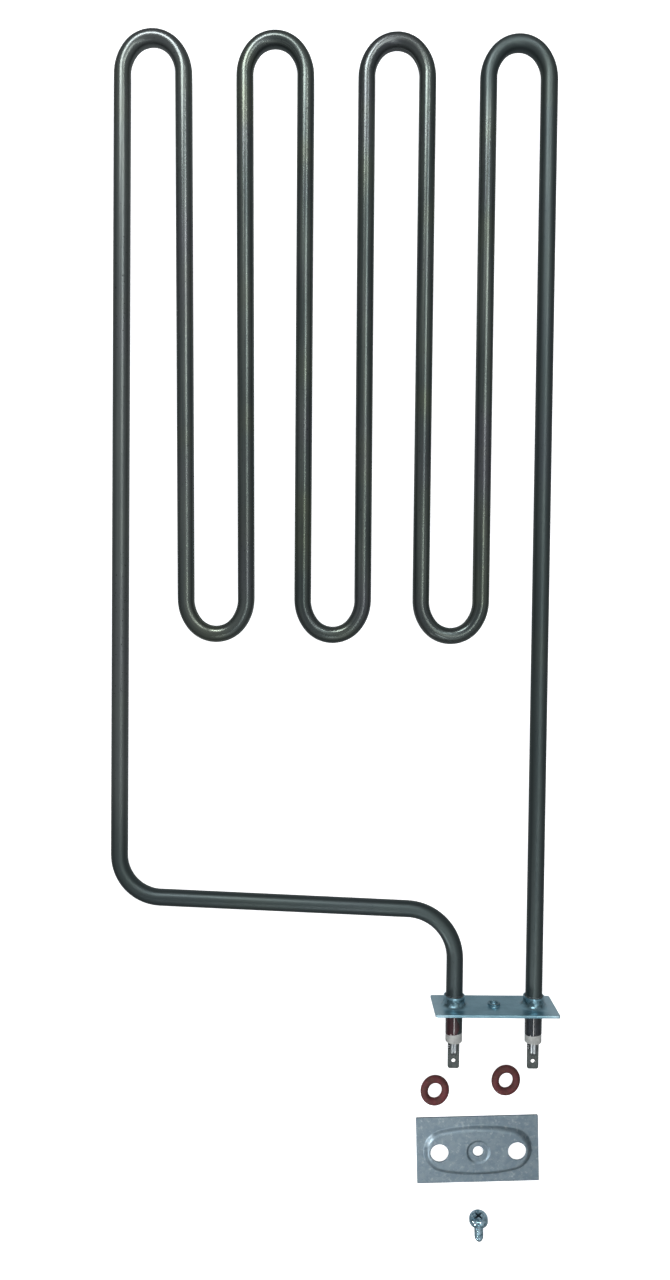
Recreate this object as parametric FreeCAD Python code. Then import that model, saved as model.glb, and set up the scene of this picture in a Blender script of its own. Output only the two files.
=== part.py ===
import FreeCAD, Part
import math
import os

# Tubular heating element with a pressed mounting flange, lying flat, and its loose fixing kit.
# Millimetres and degrees. X runs across the legs, Y from the terminals towards the far bends, Z up.
# The origin is on the axis of the flange's threaded hole, at the face that meets the wall.
# The tube's centreline lies in the plane Z = 0, and the flange stands on its long edge.

# Sheath tube
sheath_diameter = 9.0
sheath_wall = 0.7
stub_length = 13.0
leg_pitch = 32.0
hairpin_leans = (0.0, 0.2, 0.6)
far_reach = 517.0
near_bend_reach = 196.5
bend_rise = 18.6
bend_shoulder_radius = 21.0
run_height = 52.8
run_slope = 2.2
run_bend_radius = 27.0
corner_bend_radius = 23.0

# Mounting flange
tube_spacing = 43.0
flange_length = 66.0
flange_width = 26.0
flange_thickness = 1.5
flange_corner_radius = 0.8
collar_height = 7.0
collar_wall = 1.1
collar_flare = 3.2
collar_clearance = 0.05
braze_height = 0.7
thread_core_diameter = 4.2
thread_neck_height = 1.4
thread_neck_wall = 1.3

# Terminals
pin_diameter = 2.5
cold_length = 34.0
coil_diameter = 3.6
coil_sides = 6
joint_length = 6.0
joint_wall = 0.5
bush_head_length = 5.2
bush_spigot_length = 6.0
bush_clearance = 0.05
bush_edge_chamfer = 0.3
seal_plug_length = 3.0

# Push-on tabs
tab_width = 6.3
tab_thickness = 0.8
tab_gap = 0.6
tab_length = 14.3
tab_saddle_length = 4.8
tab_corner_radius = 1.2
tab_hole_diameter = 2.1
tab_hole_setback = 4.2

# Seal rings
seal_section_diameter = 4.2
seal_section_sides = 12
seal_stretch = 1.0
seal_left_place = (-30.0, -51.2)
seal_right_place = (9.3, -45.2)

# Clamp plate
plate_length = 68.0
plate_width = 37.0
plate_thickness = 1.2
plate_place = (-5.6, -84.9)
plate_turn = 1.9
dome_length = 60.0
dome_width = 28.0
dome_end_radius = 11.0
dome_height = 3.0
dome_draft = 2.0
dome_inside_radius = 0.8
tube_hole_clearance = 0.5
screw_hole_clearance = 0.4
recess_diameter = 12.0
recess_depth = 0.9
recess_bevel = 0.4
level_slack = 0.01

# Clamp screw
screw_diameter = 5.0
screw_length = 13.0
screw_tip_length = 2.0
screw_tip_diameter = 3.2
head_diameter = 10.4
head_height = 3.9
head_edge_radius = 2.2
cross_length = 5.2
cross_width = 1.2
cross_depth = 2.2
cross_floor_share = 0.45
screw_place = (-5.1, -123.0)
screw_turn = 4.3

# Sizes that follow from those above
sheath_radius = sheath_diameter / 2
bore_radius = sheath_radius - sheath_wall
pin_radius = pin_diameter / 2
tube_side = tube_spacing / 2
floor_level = -flange_width / 2
far_spring_line = far_reach - sheath_radius - bend_rise
near_spring_line = near_bend_reach + sheath_radius + bend_rise
collar_inner_radius = sheath_radius + collar_clearance
collar_outer_radius = collar_inner_radius + collar_wall
collar_foot_radius = collar_outer_radius + collar_flare
coil_start = cold_length - stub_length
bush_head_end = -stub_length - bush_head_length
bush_spigot_end = bush_spigot_length - stub_length
plug_end = bush_spigot_end + seal_plug_length
tab_start = bush_head_end - tab_gap
tab_end = tab_start - tab_length
pin_end = tab_start - tab_saddle_length

Y_AXIS = FreeCAD.Vector(0, 1, 0)
Z_AXIS = FreeCAD.Vector(0, 0, 1)
X_AXIS = FreeCAD.Vector(1, 0, 0)
ORIGIN = FreeCAD.Vector(0, 0, 0)
QUARTER_TURN = 90.0
HALF_TURN = 180.0
FULL_TURN = 360.0


def point(x, y, z=0.0):
    """A point in millimetres."""
    return FreeCAD.Vector(x, y, z)


class BentPath:
    """A centreline in the plane Z = 0, laid as on a tube bender: straight, turn, straight."""

    def __init__(self, start, heading):
        self.end = start
        self.heading = heading
        self.edges = []

    def direction(self, turn=0.0):
        angle = math.radians(self.heading + turn)
        return point(math.cos(angle), math.sin(angle))

    def straight(self, length):
        target = self.end + self.direction() * length
        self.edges.append(Part.LineSegment(self.end, target).toShape())
        self.end = target

    def turn(self, radius, angle):
        """Turns left for a positive angle and right for a negative one, in degrees."""
        side = math.copysign(QUARTER_TURN, angle)
        centre = self.end + self.direction(side) * radius
        middle = centre - self.direction(side + angle / 2) * radius
        target = centre - self.direction(side + angle) * radius
        self.edges.append(Part.Arc(self.end, middle, target).toShape())
        self.end = target
        self.heading += angle

    def wire(self):
        return Part.Wire(self.edges)


def u_bend(path, side, extra_turn=0.0):
    """Three tangent arcs, wide at the shoulders and tight at the crown; side is 1 left, -1 right.

    The crown's radius follows from the half span, the rise and the radius of the shoulders. The
    crown takes up extra_turn, by which the bend is more than half a turn.
    """
    offset = bend_shoulder_radius - leg_pitch / 2
    crown_radius = (bend_shoulder_radius**2 - offset**2 - bend_rise**2) / (
        2 * (bend_shoulder_radius - bend_rise)
    )
    shoulder_angle = math.degrees(math.atan2(bend_rise - crown_radius, offset))
    path.turn(bend_shoulder_radius, side * shoulder_angle)
    path.turn(crown_radius, side * (HALF_TURN + extra_turn - 2 * shoulder_angle))
    path.turn(bend_shoulder_radius, side * shoulder_angle)


def heater_path(end_setback):
    """The tube's centreline from the right end to the left, shortened alike at both ends.

    The hairpins lean by the angles of hairpin_leans, from right to left, as bent by hand. The
    far bend before each takes up the change of lean, so that the two outer legs stay parallel.
    """
    start_y = end_setback - stub_length
    path = BentPath(point(tube_side, start_y), QUARTER_TURN)
    path.straight(far_spring_line - start_y)
    last_lean = 0.0
    for lean in hairpin_leans:
        u_bend(path, 1, lean - last_lean)
        path.straight((path.end.y - near_spring_line) / math.cos(math.radians(lean)))
        u_bend(path, -1)
        path.straight((far_spring_line - path.end.y) / math.cos(math.radians(lean)))
        last_lean = lean
    u_bend(path, 1, -last_lean)

    slope = math.radians(run_slope)
    bend_angle = QUARTER_TURN - run_slope
    tangent_share = math.tan(math.radians(bend_angle) / 2)
    corner_tangent = corner_bend_radius * tangent_share
    run_tangent = run_bend_radius * tangent_share
    run_span = -tube_side - path.end.x
    corner_y = run_height + run_span * math.tan(slope)
    path.straight(path.end.y - corner_y - corner_tangent)
    path.turn(corner_bend_radius, bend_angle)
    path.straight(run_span / math.cos(slope) - corner_tangent - run_tangent)
    path.turn(run_bend_radius, -bend_angle)
    path.straight(path.end.y - start_y)
    return path.wire()


def closed_edges(places):
    """Straight edges round a closed outline of (x, y) places."""
    corners = [point(*place) for place in places]
    following = corners[1:] + corners[:1]
    return [Part.LineSegment(a, b).toShape() for a, b in zip(corners, following)]


def turned(edges, side_x):
    """Turns an outline of (radius, y) edges about the tube axis at side_x."""
    solid = Part.Face(Part.Wire(edges)).revolve(ORIGIN, Y_AXIS, FULL_TURN)
    solid.translate(point(side_x, 0))
    return solid


def sleeve(side_x, inner_radius, outer_radius, low_y, high_y):
    """A round sleeve along Y."""
    outline = [
        (inner_radius, low_y),
        (outer_radius, low_y),
        (outer_radius, high_y),
        (inner_radius, high_y),
    ]
    return turned(closed_edges(outline), side_x)


def rod(side_x, radius, low_y, high_y):
    """A round rod along Y."""
    return Part.makeCylinder(radius, high_y - low_y, point(side_x, low_y), Y_AXIS)


def resistance_coil():
    """The outside of the winding, as a flat-sided bar along the tube's axis between the pins."""
    corners = []
    for side in range(coil_sides):
        angle = 2 * math.pi * side / coil_sides
        across = coil_diameter / 2 * math.cos(angle)
        up = coil_diameter / 2 * math.sin(angle)
        corners.append(point(across + tube_side, coil_start, up))
    section = Part.Face(Part.makePolygon(corners + corners[:1]))
    return heater_path(cold_length).makePipe(section)


def heater_sheath():
    """The whole bent tube, bored at both cold ends.

    Along the heated stretch the tube is rolled down on the packed powder, and both are one
    hard bar that closes round the winding.
    """
    outside = Part.Wire(Part.Circle(point(tube_side, -stub_length), Y_AXIS, sheath_radius).toShape())
    sheath = heater_path(0.0).makePipe(Part.Face(outside))
    for side_x in (-tube_side, tube_side):
        sheath = sheath.cut(rod(side_x, bore_radius, -stub_length, coil_start))
    return sheath.cut(resistance_coil())


def cold_filling(side_x):
    """Packed powder round the pin and its joint, from the sealing plug to the winding."""
    joint_start = coil_start - joint_length
    outline = [
        (pin_radius, plug_end),
        (bore_radius, plug_end),
        (bore_radius, coil_start),
        (pin_radius + joint_wall, coil_start),
        (pin_radius + joint_wall, joint_start),
        (pin_radius, joint_start),
    ]
    return turned(closed_edges(outline), side_x)


def coil_joint(side_x):
    """The last turns of the winding, drawn tight round the pin and welded to it."""
    return sleeve(
        side_x, pin_radius, pin_radius + joint_wall, coil_start - joint_length, coil_start
    )


def terminal_pin(side_x):
    """A solid pin that carries the current from the tab to the winding."""
    return rod(side_x, pin_radius, pin_end, coil_start)


def insulator(side_x):
    """A ceramic bush: its head covers the tube's end and its spigot sits in the bore."""
    hole_radius = pin_radius + bush_clearance
    spigot_radius = bore_radius - bush_clearance
    outline = [
        (hole_radius, bush_head_end),
        (sheath_radius - bush_edge_chamfer, bush_head_end),
        (sheath_radius, bush_head_end + bush_edge_chamfer),
        (sheath_radius, -stub_length),
        (spigot_radius, -stub_length),
        (spigot_radius, bush_spigot_end),
        (hole_radius, bush_spigot_end),
    ]
    return turned(closed_edges(outline), side_x)


def end_seal(side_x):
    """A plug of sealing resin that fills the bore behind the ceramic bush."""
    return sleeve(side_x, pin_radius, bore_radius, bush_spigot_end, plug_end)


def tab(side_x):
    """A push-on blade with a saddle pressed into it, which sits over the pin and is welded."""
    half_width = tab_width / 2
    half_sheet = tab_thickness / 2
    blade = Part.makeBox(
        tab_width, tab_length, tab_thickness, point(side_x - half_width, tab_end, -half_sheet)
    )
    tip_edges = [edge for edge in blade.Edges if edge.BoundBox.YMax < tab_end + half_sheet]
    tip_corners = [edge for edge in tip_edges if edge.BoundBox.XLength < half_sheet]
    blade = blade.makeFillet(tab_corner_radius, tip_corners)
    hole_y = tab_end + tab_hole_setback
    blade = blade.cut(
        Part.makeCylinder(
            tab_hole_diameter / 2, tab_thickness, point(side_x, hole_y, -half_sheet), Z_AXIS
        )
    )
    saddle_radius = pin_radius + tab_thickness
    saddle = rod(side_x, saddle_radius, pin_end, tab_start)
    saddle = saddle.fuse(Part.makeSphere(saddle_radius, point(side_x, pin_end, 0)))
    above = Part.makeBox(
        tab_width, tab_length, saddle_radius, point(side_x - half_width, tab_end, 0)
    )
    channel = rod(side_x, pin_radius, pin_end, tab_start)
    channel = channel.fuse(Part.makeSphere(pin_radius, point(side_x, pin_end, 0)))
    return blade.fuse(saddle.common(above)).cut(channel).removeSplitter()


def collar(side_x):
    """A neck drawn out of the sheet: a flared foot, then a straight wall round the tube.

    The outside flare is a quarter circle on top of the sheet. The inside flare is a larger
    quarter circle from the underside, so that the drawn wall thins evenly to the rim.
    """
    inner_flare = collar_foot_radius - collar_inner_radius
    outer_top = flange_thickness + collar_flare
    diagonal = math.sin(math.radians(QUARTER_TURN / 2))
    foot_under = point(collar_foot_radius, 0)
    foot_over = point(collar_foot_radius, flange_thickness)
    outer_middle = point(
        collar_foot_radius - collar_flare * diagonal, outer_top - collar_flare * diagonal
    )
    outer_shoulder = point(collar_outer_radius, outer_top)
    outer_rim = point(collar_outer_radius, collar_height)
    inner_rim = point(collar_inner_radius, collar_height)
    inner_shoulder = point(collar_inner_radius, inner_flare)
    inner_middle = point(
        collar_foot_radius - inner_flare * diagonal, inner_flare - inner_flare * diagonal
    )
    edges = [
        Part.LineSegment(foot_under, foot_over).toShape(),
        Part.Arc(foot_over, outer_middle, outer_shoulder).toShape(),
        Part.LineSegment(outer_shoulder, outer_rim).toShape(),
        Part.LineSegment(outer_rim, inner_rim).toShape(),
        Part.LineSegment(inner_rim, inner_shoulder).toShape(),
        Part.Arc(inner_shoulder, inner_middle, foot_under).toShape(),
    ]
    return turned(edges, side_x)


def mounting_flange():
    """One pressed plate: two drawn collars for the tube, and a threaded neck between them."""
    sheet = Part.makeBox(
        flange_length,
        flange_thickness,
        flange_width,
        point(-flange_length / 2, 0, -flange_width / 2),
    )
    corners = [edge for edge in sheet.Edges if edge.BoundBox.YLength > flange_thickness / 2]
    flange = sheet.makeFillet(flange_corner_radius, corners)
    for side_x in (-tube_side, tube_side):
        flange = flange.cut(rod(side_x, collar_foot_radius, 0, flange_thickness))
        flange = flange.fuse(collar(side_x))
    core_radius = thread_core_diameter / 2
    neck_top = flange_thickness + thread_neck_height
    flange = flange.fuse(rod(0, core_radius + thread_neck_wall, 0, neck_top))
    return flange.cut(rod(0, core_radius, 0, neck_top)).removeSplitter()


def braze_ring(side_x):
    """Braze in the gap between tube and collar, with a small fillet at the collar's rim."""
    outline = [
        (sheath_radius, collar_height - braze_height),
        (collar_inner_radius, collar_height - braze_height),
        (collar_inner_radius, collar_height),
        (collar_outer_radius, collar_height),
        (sheath_radius, collar_height + braze_height),
    ]
    return turned(closed_edges(outline), side_x)


def seal_ring(place):
    """A rubber ring that grips the tube, lying on the floor; its round section has flat sides."""
    section_radius = seal_section_diameter / 2
    middle_radius = sheath_radius - seal_stretch / 2 + section_radius
    corners = []
    for side in range(seal_section_sides):
        angle = 2 * math.pi * (side + 1 / 2) / seal_section_sides
        across = middle_radius + section_radius * math.cos(angle)
        corners.append(point(across, 0, section_radius * math.sin(angle)))
    section = Part.Face(Part.makePolygon(corners + corners[:1]))
    ring = section.revolve(ORIGIN, Z_AXIS, FULL_TURN)
    ring.translate(point(*place, floor_level - ring.BoundBox.ZMin))
    return ring


def oval(inset, level):
    """The dome's outline in four tangent arcs, moved inwards by inset, at height level.

    The two end arcs have a set radius. The radius of the long sides follows from the width.
    """
    half_length = dome_length / 2 - inset
    half_width = dome_width / 2 - inset
    end_radius = dome_end_radius - inset
    end_centre = half_length - end_radius
    side_radius = (end_centre**2 + half_width**2 - end_radius**2) / (
        2 * (half_width - end_radius)
    )
    lean = math.atan2(side_radius - half_width, end_centre)
    join_x = end_centre + end_radius * math.cos(lean)
    join_y = end_radius * math.sin(lean)
    arcs = [
        ((join_x, -join_y), (half_length, 0), (join_x, join_y)),
        ((join_x, join_y), (0, half_width), (-join_x, join_y)),
        ((-join_x, join_y), (-half_length, 0), (-join_x, -join_y)),
        ((-join_x, -join_y), (0, -half_width), (join_x, -join_y)),
    ]
    edges = []
    for places in arcs:
        start, middle, end = [point(x, y, level) for x, y in places]
        edges.append(Part.Arc(start, middle, end).toShape())
    return Part.Wire(edges)


def dome_edges(solid, level):
    """The edges of a dome's outline that lie flat at one height."""
    found = []
    for edge in solid.Edges:
        box = edge.BoundBox
        is_level = max(abs(box.ZMin - level), abs(box.ZMax - level)) < level_slack
        in_length = abs(box.Center.x) < dome_length / 2
        in_width = abs(box.Center.y) < dome_width / 2 + level_slack
        if is_level and in_length and in_width:
            found.append(edge)
    return found


def dome(wall_inset, foot_level, top_level):
    """A drafted oval block with a flat top; wall_inset is measured from the dome's outer face."""
    rate = dome_draft / dome_height
    foot_inset = wall_inset + (foot_level - plate_thickness) * rate
    top_inset = wall_inset + (top_level - plate_thickness) * rate
    return Part.makeLoft([oval(foot_inset, foot_level), oval(top_inset, top_level)], True, True)


def clamp_plate():
    """A pressed plate: an oval dome that houses the seal rings, two tube holes, a screw hole."""
    outside_radius = dome_inside_radius + plate_thickness
    dome_top = plate_thickness + dome_height
    wall_inset = plate_thickness * math.hypot(1, dome_draft / dome_height)

    outside = dome(0.0, plate_thickness, dome_top)
    outside = outside.makeFillet(outside_radius, dome_edges(outside, dome_top))
    inside = dome(wall_inset, 0.0, dome_height)
    inside = inside.makeFillet(dome_inside_radius, dome_edges(inside, dome_height))
    plate = Part.makeBox(
        plate_length, plate_width, plate_thickness, point(-plate_length / 2, -plate_width / 2)
    )
    plate = plate.fuse(outside)
    plate = plate.makeFillet(dome_inside_radius, dome_edges(plate, plate_thickness))
    plate = plate.cut(inside)
    plate = plate.makeFillet(outside_radius, dome_edges(plate, 0.0))

    recess_radius = recess_diameter / 2
    recess_floor = dome_top - recess_depth
    boss_level = recess_floor - plate_thickness
    plate = plate.fuse(Part.makeCylinder(recess_radius, plate_thickness, point(0, 0, boss_level)))
    plate = plate.cut(
        Part.makeCone(
            recess_radius - recess_bevel, recess_radius, recess_depth, point(0, 0, recess_floor)
        )
    )
    screw_hole_radius = screw_diameter / 2 + screw_hole_clearance
    plate = plate.cut(Part.makeCylinder(screw_hole_radius, dome_top, ORIGIN))
    for side_x in (-tube_side, tube_side):
        hole = Part.makeCylinder(sheath_radius + tube_hole_clearance, dome_top, point(side_x, 0))
        plate = plate.cut(hole)
    plate.rotate(ORIGIN, Z_AXIS, plate_turn)
    plate.translate(point(*plate_place, floor_level))
    return plate


def cross_recess():
    """Two crossed slots that narrow towards their floor."""
    recess = None
    for turn in (0, QUARTER_TURN):
        wires = []
        for level, share in ((head_height, 1.0), (head_height - cross_depth, cross_floor_share)):
            half_length = cross_length / 2 * share
            half_width = cross_width / 2 * share
            corners = [
                point(-half_length, level, -half_width),
                point(half_length, level, -half_width),
                point(half_length, level, half_width),
                point(-half_length, level, half_width),
            ]
            wires.append(Part.makePolygon(corners + corners[:1]))
        slot = Part.makeLoft(wires, True, True)
        slot.rotate(ORIGIN, Y_AXIS, turn)
        recess = recess.fuse(slot) if recess else slot
    return recess


def clamp_screw():
    """A pan-head screw with a cross recess, lying on its head's rim and its shank."""
    shank_radius = screw_diameter / 2
    head_radius = head_diameter / 2
    shank_end = screw_tip_length - screw_length
    tip = Part.makeCone(
        shank_radius, screw_tip_diameter / 2, screw_tip_length, point(0, shank_end), -Y_AXIS
    )
    head = rod(0, head_radius, 0, head_height)
    crown = [edge for edge in head.Edges if edge.BoundBox.YMin > head_height - head_edge_radius]
    head = head.makeFillet(head_edge_radius, crown)
    screw = head.fuse([rod(0, shank_radius, shank_end, 0), tip]).cut(cross_recess())
    tilt = math.degrees(math.atan2(head_radius - shank_radius, -shank_end))
    screw.rotate(ORIGIN, X_AXIS, tilt)
    screw.rotate(ORIGIN, Z_AXIS, screw_turn)
    screw.translate(point(*screw_place, floor_level - screw.BoundBox.ZMin))
    return screw


nodes = {
    "heater_sheath": heater_sheath(),
    "resistance_coil": resistance_coil(),
    "mounting_flange": mounting_flange(),
    "clamp_plate": clamp_plate(),
    "clamp_screw": clamp_screw(),
    "seal_ring_left": seal_ring(seal_left_place),
    "seal_ring_right": seal_ring(seal_right_place),
}
terminal_pieces = {
    "coil_joint": coil_joint,
    "terminal_pin": terminal_pin,
    "insulator": insulator,
    "end_seal": end_seal,
    "cold_filling": cold_filling,
    "tab": tab,
    "braze_ring": braze_ring,
}
for side_name, side_x in (("left", -tube_side), ("right", tube_side)):
    for piece_name, make_piece in terminal_pieces.items():
        nodes[f"{piece_name}_{side_name}"] = make_piece(side_x)

os.makedirs("parts", exist_ok=True)
for node_name, shape in nodes.items():
    shape.exportStep(f"parts/{node_name}.step")
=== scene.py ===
import math

import bmesh
import bpy
import numpy as np
from mathutils import Matrix, Vector


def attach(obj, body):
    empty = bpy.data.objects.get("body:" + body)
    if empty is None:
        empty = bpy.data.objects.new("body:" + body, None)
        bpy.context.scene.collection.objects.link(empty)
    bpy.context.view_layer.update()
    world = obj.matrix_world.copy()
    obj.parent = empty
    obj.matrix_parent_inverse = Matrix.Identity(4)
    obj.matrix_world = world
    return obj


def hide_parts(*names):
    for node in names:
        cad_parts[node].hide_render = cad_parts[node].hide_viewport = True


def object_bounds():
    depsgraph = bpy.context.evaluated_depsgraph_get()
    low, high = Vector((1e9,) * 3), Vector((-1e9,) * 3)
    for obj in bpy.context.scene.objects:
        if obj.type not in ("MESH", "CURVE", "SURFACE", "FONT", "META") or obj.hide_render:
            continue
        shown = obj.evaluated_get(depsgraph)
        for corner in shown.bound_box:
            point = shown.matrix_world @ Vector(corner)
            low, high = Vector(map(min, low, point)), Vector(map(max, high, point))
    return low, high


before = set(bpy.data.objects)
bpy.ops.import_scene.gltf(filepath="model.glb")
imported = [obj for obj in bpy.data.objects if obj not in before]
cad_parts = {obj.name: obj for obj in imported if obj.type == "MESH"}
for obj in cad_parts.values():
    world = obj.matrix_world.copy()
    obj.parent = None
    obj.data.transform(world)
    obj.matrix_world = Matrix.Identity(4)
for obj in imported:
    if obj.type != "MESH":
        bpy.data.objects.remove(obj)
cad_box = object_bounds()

# Camera: almost straight above the element, which lies flat on the table. The lens is short, so
# the flange at the near end is seen from its inner side.
camera_place = (-0.09163, 0.21268, 0.49176)
camera_turn, camera_pitch, camera_roll = (math.radians(angle) for angle in (0.601, -1.690, -0.398))
camera_lens = 25.91
camera_sensor = 36.0

camera_data = bpy.data.cameras.new("camera")
camera_data.lens = camera_lens
camera_data.sensor_width = camera_sensor
camera = bpy.data.objects.new("camera", camera_data)
camera.matrix_world = (
    Matrix.Translation(camera_place)
    @ Matrix.Rotation(camera_turn, 4, "Z")
    @ Matrix.Rotation(camera_pitch, 4, "X")
    @ Matrix.Rotation(camera_roll, 4, "Y")
)
bpy.context.scene.collection.objects.link(camera)
bpy.context.scene.camera = camera

# Table and lights: a table lit to plain white, and over it a soft box and a dim panel with two
# bright strips, which draw the long streaks on the tube. A lamp beyond the bends lights their
# crowns, and narrow beams from the near side and the left light the flange and the loose kit.
table_size = 8.0
table_colour = (0.88, 0.89, 0.90)
table_glow = (0.99, 1.0, 1.0)


class Socket:
    """One socket of a material's nodes. Arithmetic between sockets adds Math nodes."""

    def __init__(self, tree, socket=None):
        self.tree = tree
        self.socket = socket

    def node(self, kind, settings=None, sockets=None, output=0):
        """Adds a node: first its settings, then the values or links of its sockets."""
        added = self.tree.nodes.new(kind)
        for name, value in (settings or {}).items():
            setattr(added, name, value)
        for name, value in (sockets or {}).items():
            if isinstance(value, Socket):
                self.tree.links.new(value.socket, added.inputs[name])
            else:
                is_colour = added.inputs[name].type == "RGBA"
                added.inputs[name].default_value = (*value, 1.0) if is_colour else value
        return Socket(self.tree, added.outputs[output]) if len(added.outputs) else None

    def maths(self, operation, first, second):
        return self.node("ShaderNodeMath", {"operation": operation}, {0: first, 1: second})

    def axis(self, letter):
        """One coordinate of a place."""
        return self.node("ShaderNodeSeparateXYZ", None, {0: self}, letter)

    def __add__(self, other):
        return self.maths("ADD", self, other)

    def __radd__(self, other):
        return self.maths("ADD", other, self)

    def __sub__(self, other):
        return self.maths("SUBTRACT", self, other)

    def __rsub__(self, other):
        return self.maths("SUBTRACT", other, self)

    def __mul__(self, other):
        return self.maths("MULTIPLY", self, other)

    def __rmul__(self, other):
        return self.maths("MULTIPLY", other, self)


def noise(place, blot, detail=3.0, roughness=0.55):
    """A cloudy value near 0.5 whose blots are about blot metres across."""
    sockets = {"Vector": place, "Scale": 1 / blot, "Detail": detail, "Roughness": roughness}
    return place.node("ShaderNodeTexNoise", None, sockets, "Fac")


def mixed(share, first, second):
    """A colour that goes from first to second as share goes from 0 to 1."""
    return share.node("ShaderNodeMix", {"data_type": "RGBA"}, {0: share, 6: first, 7: second}, 2)


def material(name, build, **constants):
    """A material with one Principled shader. build takes the place, as coordinates in metres in
    the part's own frame, and gives the sockets that vary over the surface."""
    made = bpy.data.materials.new(name)
    made.use_nodes = True
    made.node_tree.nodes.clear()
    start = Socket(made.node_tree)
    sockets = {key.replace("_", " "): value for key, value in constants.items()}
    sockets.update(build(start.node("ShaderNodeTexCoord", None, None, "Object")))
    shader = start.node("ShaderNodeBsdfPrincipled", None, sockets, "BSDF")
    start.node("ShaderNodeOutputMaterial", None, {"Surface": shader})
    return made


def new_piece(name, points, faces, finish, crease=35.0, attribute=None):
    """A mesh object from points and faces: doubles merged, faces outwards, shaded smooth between
    edges sharper than crease degrees. attribute is a (name, vectors) pair, one vector a point."""
    mesh = bpy.data.meshes.new(name)
    mesh.from_pydata(np.asarray(points, float).tolist(), [], np.asarray(faces).tolist())
    if attribute:
        layer = mesh.attributes.new(attribute[0], "FLOAT_VECTOR", "POINT")
        layer.data.foreach_set("vector", np.asarray(attribute[1], np.float32).ravel())
    work = bmesh.new()
    work.from_mesh(mesh)
    bmesh.ops.remove_doubles(work, verts=work.verts, dist=1e-7)
    bmesh.ops.recalc_face_normals(work, faces=work.faces)
    work.to_mesh(mesh)
    work.free()
    mesh.polygons.foreach_set("use_smooth", np.ones(len(mesh.polygons), bool))
    mesh.set_sharp_from_angle(angle=math.radians(crease))
    mesh.materials.append(finish)
    piece = bpy.data.objects.new(name, mesh)
    bpy.context.scene.collection.objects.link(piece)
    return piece


def table_paint(place):
    """Matt white with a faint cloud, so that the table isn't one flat value."""
    cloud = noise(place, 0.4)
    return {"Base Color": mixed(cloud, table_colour, tuple(0.98 * c for c in table_colour))}


table_level = cad_box[0][2]
table_edge = table_size / 2
table = new_piece(
    "table",
    [(x, y, table_level) for x in (-table_edge, table_edge) for y in (-table_edge, table_edge)],
    [(0, 2, 3, 1)],
    material(
        "table_paint", table_paint, Roughness=0.9, Emission_Color=table_glow, Emission_Strength=0.9
    ),
)
table.visible_diffuse = False
table.visible_glossy = False


def lamp(name, place, aim, size, power, colour=(1.0, 1.0, 1.0), spread=180.0):
    """A rectangular soft lamp at place, turned towards aim; size is (width, height) in metres.

    spread is the full angle of its beam in degrees.
    """
    data = bpy.data.lights.new(name, "AREA")
    data.shape = "RECTANGLE"
    data.size, data.size_y = size
    data.energy = power
    data.color = colour
    data.spread = math.radians(spread)
    light = bpy.data.objects.new(name, data)
    light.location = place
    light.rotation_euler = (Vector(aim) - Vector(place)).to_track_quat("-Z", "Y").to_euler()
    bpy.context.scene.collection.objects.link(light)


strip_white = (0.97, 1.0, 0.86)
lamp("soft_box", (0.17, 0.74, 0.83), (0.17, 0.74, 0.0), (0.27, 0.46), 1.05)
lamp("bright_strip", (0.22, 0.93, 0.82), (0.22, 0.93, 0.0), (0.02, 0.24), 0.30)
lamp("long_strip", (0.21, 0.36, 0.82), (0.21, 0.36, 0.0), (0.015, 0.86), 0.42, strip_white)
lamp("low_panel", (0.17, 0.16, 0.83), (0.17, 0.16, 0.0), (0.27, 0.70), 0.62)
lamp("crown_lamp", (-0.34, 1.10, 0.83), (-0.20, 0.5, 0.0), (0.42, 0.24), 4.2)
lamp("near_panel", (0.10, -0.72, 1.0), (0.0, -0.05, 0.0), (0.9, 0.45), 0.11, spread=70.0)
lamp("near_strip", (-0.11, -0.52, 1.0), (-0.02, 0.0, 0.0), (0.13, 0.34), 0.022, spread=24.0)
lamp("kit_lamp", (-0.34, -0.36, 0.28), (-0.02, -0.08, 0.0), (0.07, 0.07), 0.05, spread=44.0)
lamp("dome_lamp", (-0.43, 0.02, 0.15), (-0.034, -0.086, -0.01), (0.05, 0.05), 0.008, spread=12)

# The room: dim, and a little lighter above and below, so that round metal shows its shape. The
# colours are shown as they are worked out, without a film's curve.
room_dim = 0.14
room_above = 0.20
room_below = 0.22
above_band = (0.05, 0.75)
below_band = (0.05, 0.70)
room_colour = (0.93, 0.97, 1.0, 1.0)


def eased(value, low, high):
    """0 where value is below low, 1 above high, and a smooth step between the two."""
    sockets = {"Value": value, "From Min": low, "From Max": high}
    return value.node("ShaderNodeMapRange", {"interpolation_type": "SMOOTHSTEP"}, sockets)


world = bpy.data.worlds.new("studio")
world.use_nodes = True
room = Socket(world.node_tree)
direction = room.node("ShaderNodeTexCoord", None, None, "Generated")
height = direction.axis("Z")
room_light = eased(height, *above_band) * room_above + eased(0 - height, *below_band) * room_below
background = world.node_tree.nodes["Background"]
background.inputs["Color"].default_value = room_colour
world.node_tree.links.new((room_light + room_dim).socket, background.inputs["Strength"])
bpy.context.scene.world = world
bpy.context.scene.view_settings.view_transform = "Standard"

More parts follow.
